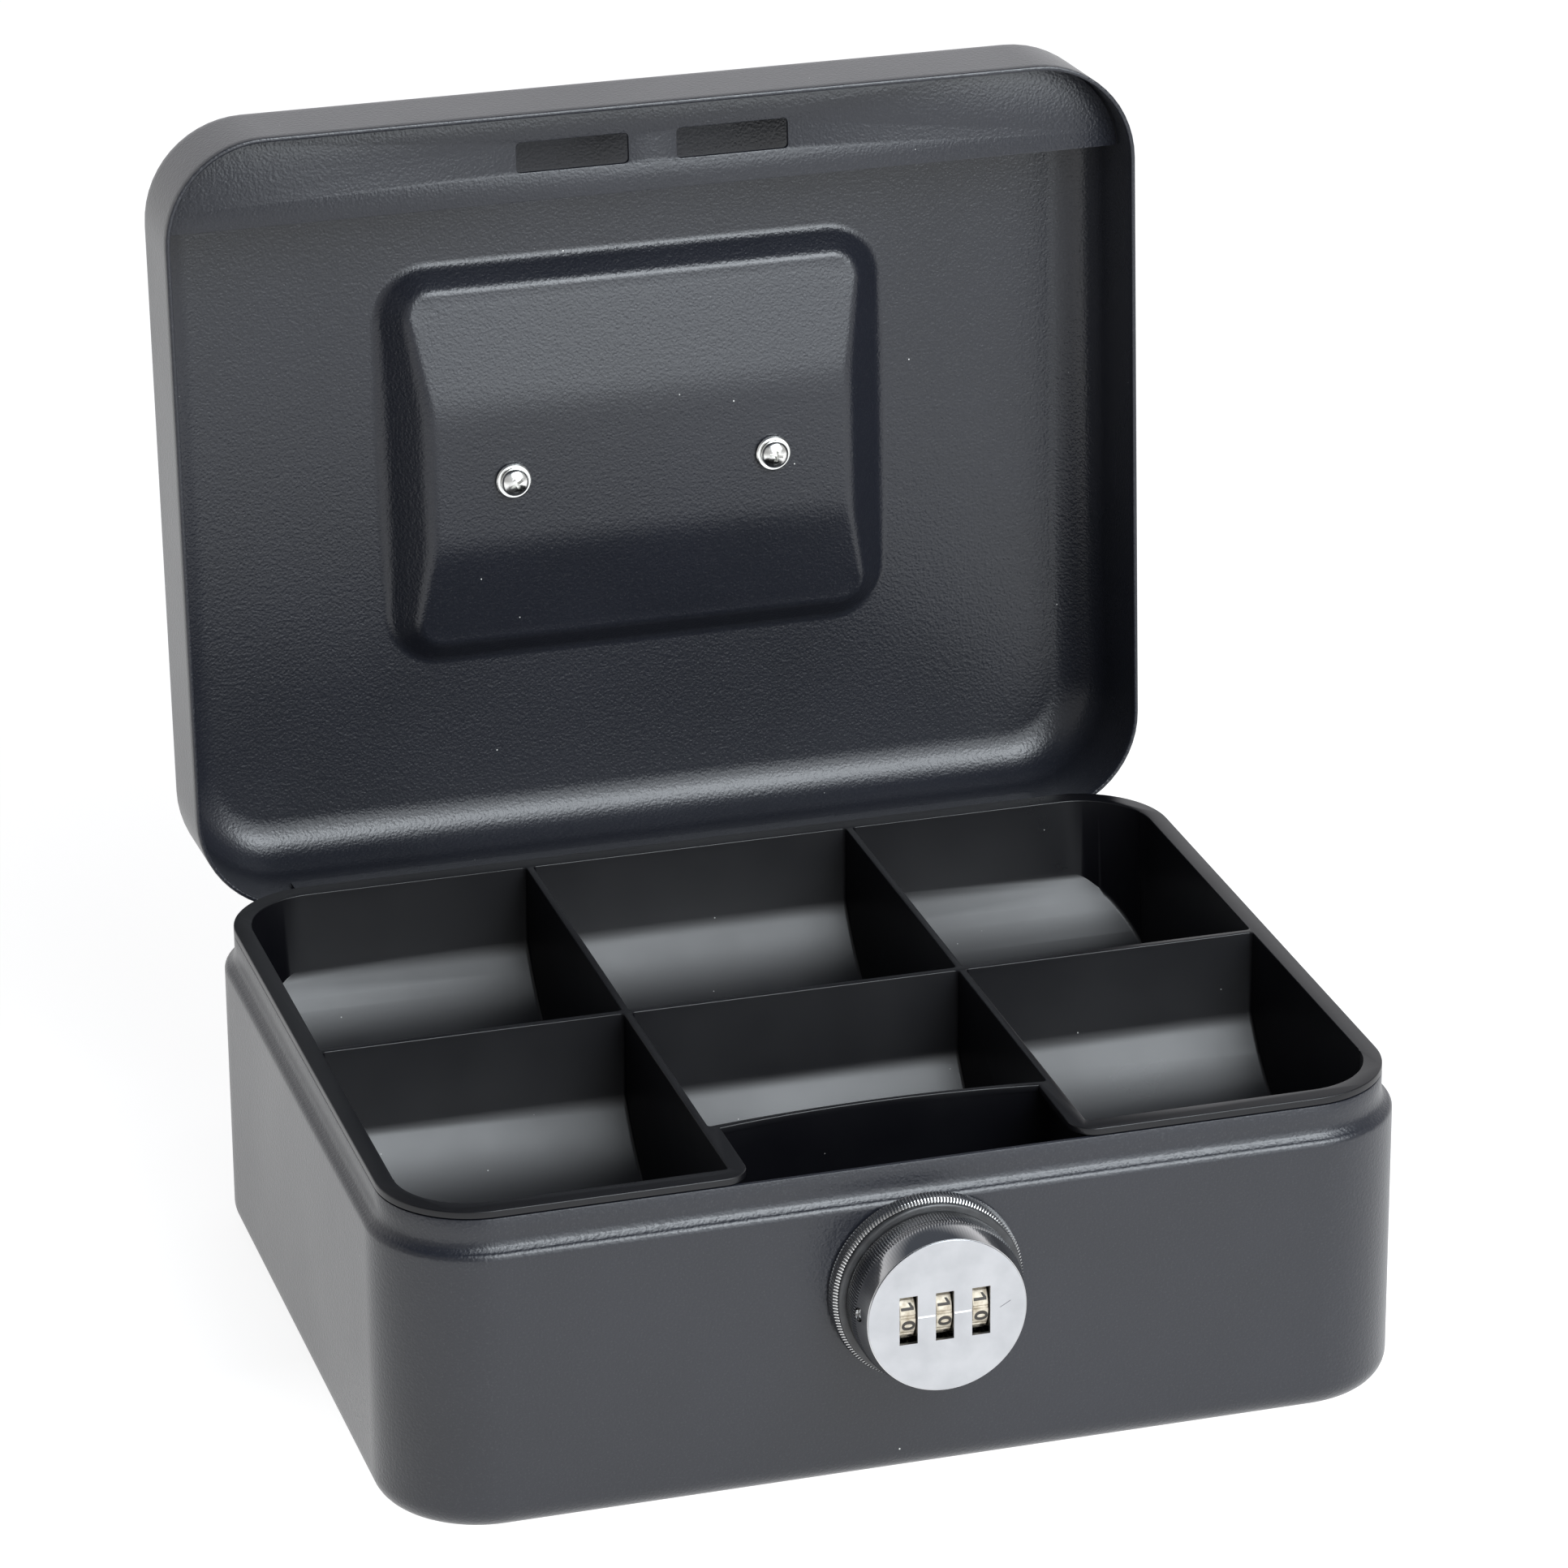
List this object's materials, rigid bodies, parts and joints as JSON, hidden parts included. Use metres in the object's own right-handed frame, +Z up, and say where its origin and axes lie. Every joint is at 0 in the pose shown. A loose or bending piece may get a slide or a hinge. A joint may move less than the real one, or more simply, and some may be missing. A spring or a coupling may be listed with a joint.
{
  "type": "cash box",
  "caption": "Rounded steel cash box with a hinged lid, a lift-out plastic coin tray, a combination knob lock on the front and a folding handle in a recess on the lid.",
  "frame": {"origin": "centre of the flat underside of the box, on the surface it stands on", "axes": "+Z up, -Y towards the lock at the front, +X to the right as seen from the front"},
  "size_m": [0.2, 0.2125, 0.2183],
  "materials": {
    "powder_coat": "dark grey powder coat with a fine leathery grain",
    "chrome": "bright chrome plate",
    "zinc_plate": "bright zinc plate",
    "tray_plastic": "black moulded plastic with a soft shine",
    "ring_plastic": "smooth black plastic",
    "satin_steel": "satin silver",
    "dial_gold": "pale gold with dark numerals",
    "spring_steel": "blued spring steel"
  },
  "bodies": {
    "base": {"base_shell": "powder_coat", "hinge_leaf_base": "powder_coat", "hinge_pin": "zinc_plate", "lock_collar": "chrome", "lock_ring": "ring_plastic", "lock_washer": "zinc_plate", "lock_nut": "zinc_plate"},
    "knob": {"knob_body": "chrome", "face_plate": "satin_steel", "dial_axle": "zinc_plate", "detent_spring": "spring_steel", "lock_spindle": "zinc_plate", "hook_cam": "zinc_plate", "cam_washer": "zinc_plate", "cam_screw": "zinc_plate"},
    "dial_left": {"dial_left": "dial_gold"},
    "dial_middle": {"dial_middle": "dial_gold"},
    "dial_right": {"dial_right": "dial_gold"},
    "side_bar": {"side_bar": "zinc_plate"},
    "tray": {"coin_tray": "tray_plastic"},
    "lid": {"lid_shell": "powder_coat", "strike_plate": "powder_coat", "hinge_leaf_lid": "powder_coat", "handle_post_left": "chrome", "handle_post_right": "chrome", "handle_washer_left": "zinc_plate", "handle_washer_right": "zinc_plate", "handle_screw_left": "zinc_plate", "handle_screw_right": "zinc_plate"},
    "handle": {"carry_handle": "chrome"}
  },
  "joints": [
    {"name": "lid_hinge", "type": "hinge", "parent": "base", "child": "lid", "pos_m": [0, 0.0815, 0.057], "axis": [-1, 0, 0], "range_deg": [-93, 0]},
    {"name": "carry_handle", "type": "hinge", "parent": "lid", "child": "handle", "pos_m": [0, 0.11021, 0.13661], "axis": [1, 0, 0], "range_deg": [0, 87]},
    {"name": "knob_turn", "type": "hinge", "parent": "base", "child": "knob", "pos_m": [0.001, -0.0944, 0.0395], "axis": [0, 1, 0], "range_deg": [-90, 0]},
    {"name": "dial_left_spin", "type": "hinge", "parent": "knob", "child": "dial_left", "pos_m": [-0.0065, -0.0881, 0.0395], "axis": [1, 0, 0], "continuous": true},
    {"name": "dial_middle_spin", "type": "hinge", "parent": "knob", "child": "dial_middle", "pos_m": [0.0005, -0.0881, 0.0395], "axis": [1, 0, 0], "continuous": true},
    {"name": "dial_right_spin", "type": "hinge", "parent": "knob", "child": "dial_right", "pos_m": [0.0075, -0.0881, 0.0395], "axis": [1, 0, 0], "continuous": true},
    {"name": "side_bar_slide", "type": "slide", "parent": "knob", "child": "side_bar", "axis": [0, 0, 1], "range_m": [-0.0011, 0.0001]},
    {"name": "tray_lift", "type": "slide", "parent": "base", "child": "tray", "axis": [0, 0, 1], "range_m": [0, 0.08]}
  ],
  "couplings": [
    {"joint": "side_bar_slide", "follows": "knob_turn", "m_per_rad": 0.00063662}
  ]
}
